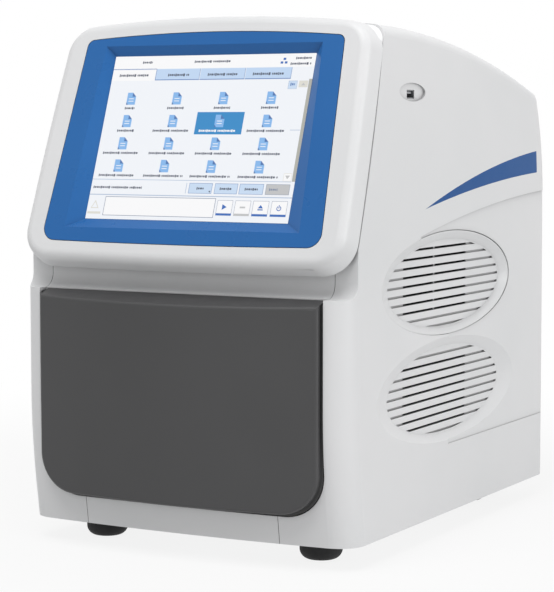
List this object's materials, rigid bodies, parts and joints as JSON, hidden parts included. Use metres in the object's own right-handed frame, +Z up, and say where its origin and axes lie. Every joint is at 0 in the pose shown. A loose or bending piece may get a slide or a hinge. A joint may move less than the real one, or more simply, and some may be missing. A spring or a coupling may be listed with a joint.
{
  "type": "real-time pcr machine",
  "caption": "Bench real-time PCR machine with a tilted touch screen, a motor drawer that carries a 96-well block, a heated lid, filter-wheel optics and oval side vents.",
  "frame": {"origin": "on the bench, below the middle of the machine's outer size", "axes": "+X to the machine's right side as seen from its screen, -Y towards the user, +Z up"},
  "size_m": [0.34, 0.48, 0.4863],
  "materials": {
    "white_plastic": "satin",
    "drawer_grey": "satin",
    "blue_plastic": "gloss",
    "blue_stripe": "satin",
    "screen_glass": "gloss",
    "circuit_board": "satin",
    "black_rubber": "matte",
    "screw_steel": "satin",
    "sheet_steel": "satin",
    "rail_steel": "satin",
    "panel_paint": "satin",
    "machined_aluminium": "satin",
    "black_plastic": "matte",
    "motor_black": "satin",
    "deck_plastic": "satin",
    "ceramic_white": "matte",
    "nut_brass": "satin",
    "filter_foam": "matte",
    "lens_glass": "gloss",
    "front_mirror": "gloss",
    "emission_glass": "gloss",
    "excitation_glass": "gloss"
  },
  "bodies": {
    "chassis": {"air_filters": "filter_foam", "base_plate": "sheet_steel", "camera": "black_plastic", "chin_panel": "white_plastic", "cover_screws": "screw_steel", "display_bezel": "white_plastic", "display_board": "circuit_board", "drawer_motor": "motor_black", "feet": "black_rubber", "field_lens": "lens_glass", "fold_mirror": "front_mirror", "foot_screws": "screw_steel", "led_module": "machined_aluminium", "left_cover": "white_plastic", "lid_motor": "motor_black", "lid_posts": "screw_steel", "main_board": "circuit_board", "neck_panel": "white_plastic", "optics_bracket": "sheet_steel", "optics_cover": "black_plastic", "optics_deck": "machined_aluminium", "optics_housing": "black_plastic", "power_inlet": "black_plastic", "power_supply": "sheet_steel", "rail_tracks": "sheet_steel", "rear_fan_frame": "black_plastic", "rear_panel": "panel_paint", "right_cover": "white_plastic", "screen_surround": "blue_plastic", "screw_bearing": "sheet_steel", "side_frame_left": "sheet_steel", "side_frame_right": "sheet_steel", "stripe_left": "blue_stripe", "stripe_right": "blue_stripe", "top_cover": "white_plastic", "touch_panel": "screen_glass", "usb_port": "sheet_steel", "vent_grille_left": "white_plastic", "vent_grille_right": "white_plastic", "wheel_motors": "motor_black"},
    "drawer": {"drawer_front": "drawer_grey", "drawer_tray": "sheet_steel", "drawer_rails": "rail_steel", "drawer_deck": "deck_plastic", "thermal_block": "machined_aluminium", "peltier_modules": "ceramic_white", "heat_sink": "machined_aluminium", "sink_fan_frame": "black_plastic", "drawer_nut": "nut_brass"},
    "sink_fan": {"sink_fan_rotor": "black_plastic"},
    "drawer_drive": {"drawer_screw": "screw_steel"},
    "heated_lid": {"heated_plate": "machined_aluminium", "lid_frame": "black_plastic"},
    "lid_drive": {"lid_screw": "screw_steel"},
    "excitation_turret": {"excitation_wheel": "machined_aluminium", "excitation_filters": "excitation_glass"},
    "emission_turret": {"emission_wheel": "machined_aluminium", "emission_filters": "emission_glass"},
    "rear_fan": {"rear_fan_rotor": "black_plastic"},
    "rocker": {"power_rocker": "black_plastic"}
  },
  "joints": [
    {"name": "drawer_slide", "type": "slide", "parent": "chassis", "child": "drawer", "axis": [0, -1, 0], "range_m": [0, 0.185]},
    {"name": "drawer_screw_spin", "type": "hinge", "parent": "chassis", "child": "drawer_drive", "pos_m": [0, -0.1, 0.044], "axis": [0, 1, 0], "range_deg": [0, 3331]},
    {"name": "lid_press", "type": "slide", "parent": "chassis", "child": "heated_lid", "axis": [0, 0, -1], "range_m": [0, 0.0085]},
    {"name": "lid_screw_spin", "type": "hinge", "parent": "chassis", "child": "lid_drive", "pos_m": [0, 0.014, 0.15], "axis": [0, 0, 1], "range_deg": [0, 766]},
    {"name": "emission_wheel_spin", "type": "hinge", "parent": "chassis", "child": "emission_turret", "pos_m": [0.027, 0.06, 0.297], "axis": [0, 1, 0], "continuous": true},
    {"name": "excitation_wheel_spin", "type": "hinge", "parent": "chassis", "child": "excitation_turret", "pos_m": [-0.06, 0.06, 0.255], "axis": [0, 1, 0], "continuous": true},
    {"name": "sink_fan_spin", "type": "hinge", "parent": "drawer", "child": "sink_fan", "pos_m": [0, -0.038, 0.087], "axis": [0, 1, 0], "continuous": true},
    {"name": "rear_fan_spin", "type": "hinge", "parent": "chassis", "child": "rear_fan", "pos_m": [0, 0.2225, 0.15], "axis": [0, 1, 0], "continuous": true},
    {"name": "rocker_tilt", "type": "hinge", "parent": "chassis", "child": "rocker", "pos_m": [-0.112, 0.231, 0.096], "axis": [1, 0, 0], "range_deg": [0, 24]}
  ],
  "couplings": [
    {"joint": "drawer_screw_spin", "follows": "drawer_slide", "rad_per_m": 314.16},
    {"joint": "lid_screw_spin", "follows": "lid_press", "rad_per_m": 1570.8}
  ]
}
